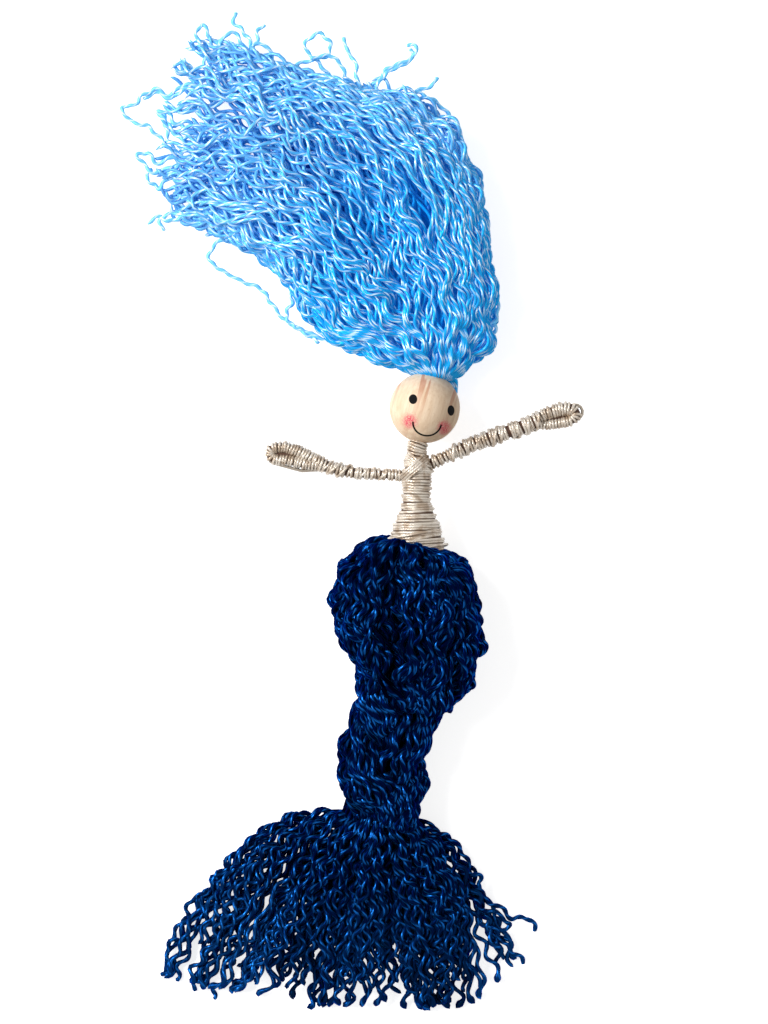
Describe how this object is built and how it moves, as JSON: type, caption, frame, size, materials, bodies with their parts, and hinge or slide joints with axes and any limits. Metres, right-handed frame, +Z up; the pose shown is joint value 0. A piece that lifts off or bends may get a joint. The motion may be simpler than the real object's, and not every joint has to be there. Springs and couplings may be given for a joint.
{
  "type": "yarn mermaid puppet",
  "caption": "Bendable mermaid puppet with a wooden bead head, cord-wound wire arms and torso, sky-blue yarn hair and a plaited navy yarn tail ending in a fringe fin.",
  "frame": {"origin": "on the table under the middle of the hips, on the flat underside of the hip yarn", "axes": "+Y from the tail to the head along the lying puppet, +Z up out of its face, +X to the right of a viewer looking down at the face"},
  "size_m": [0.1323, 0.2842, 0.0248],
  "materials": {
    "wood_bead": "sanded, unvarnished, inked face",
    "satin_cord": "glossy twisted cord",
    "wire": "plain craft wire",
    "padding": "matt",
    "navy_yarn": "crimped plied yarn",
    "sky_yarn": "crimped glossy plied yarn"
  },
  "bodies": {
    "torso": {"torso_padding": "padding", "spine_wire": "wire", "torso_wrap": "satin_cord", "chest_band_under": "satin_cord", "chest_band_over": "satin_cord", "waist_tie": "navy_yarn", "hip_yarn": "navy_yarn"},
    "neck": {"neck_wire": "wire", "neck_wrap": "satin_cord"},
    "head": {"head_bead": "wood_bead"},
    "hair": {"hair_hank": "sky_yarn"},
    "left_arm": {"left_arm_wire": "wire", "left_arm_wrap": "satin_cord", "left_hand_wrap": "satin_cord"},
    "right_arm": {"right_arm_wire": "wire", "right_arm_wrap": "satin_cord", "right_hand_wrap": "satin_cord"},
    "tail": {"plait_lock_a": "navy_yarn", "plait_lock_b": "navy_yarn", "plait_lock_c": "navy_yarn"},
    "fin": {"fin_fringe": "navy_yarn"}
  },
  "joints": [
    {"name": "neck_tilt", "type": "hinge", "parent": "torso", "child": "neck", "pos_m": [-0.00166, 0.04486, 0.01], "axis": [0, 0, 1], "range_deg": [-8, 20]},
    {"name": "head_turn", "type": "hinge", "parent": "neck", "child": "head", "pos_m": [0.0022, 0.0579, 0.01], "axis": [0.284, 0.9588, 0], "continuous": true},
    {"name": "hair_swing", "type": "hinge", "parent": "neck", "child": "hair", "pos_m": [0.00595, 0.07056, 0.01], "axis": [0, 0, 1], "range_deg": [-40, 8]},
    {"name": "left_shoulder", "type": "hinge", "parent": "torso", "child": "left_arm", "pos_m": [-0.0041, 0.0386, 0.01], "axis": [0, 0, 1], "range_deg": [-40, 45]},
    {"name": "right_shoulder", "type": "hinge", "parent": "torso", "child": "right_arm", "pos_m": [0.004, 0.0417, 0.01], "axis": [0, 0, 1], "range_deg": [-60, 8]},
    {"name": "tail_sway", "type": "hinge", "parent": "torso", "child": "tail", "pos_m": [-0.0062, -0.025, 0.01], "axis": [0, 0, 1], "range_deg": [-18, 18]},
    {"name": "fin_sway", "type": "hinge", "parent": "tail", "child": "fin", "pos_m": [-0.0105, -0.057, 0.01], "axis": [0, 0, 1], "range_deg": [-8, 8]}
  ]
}
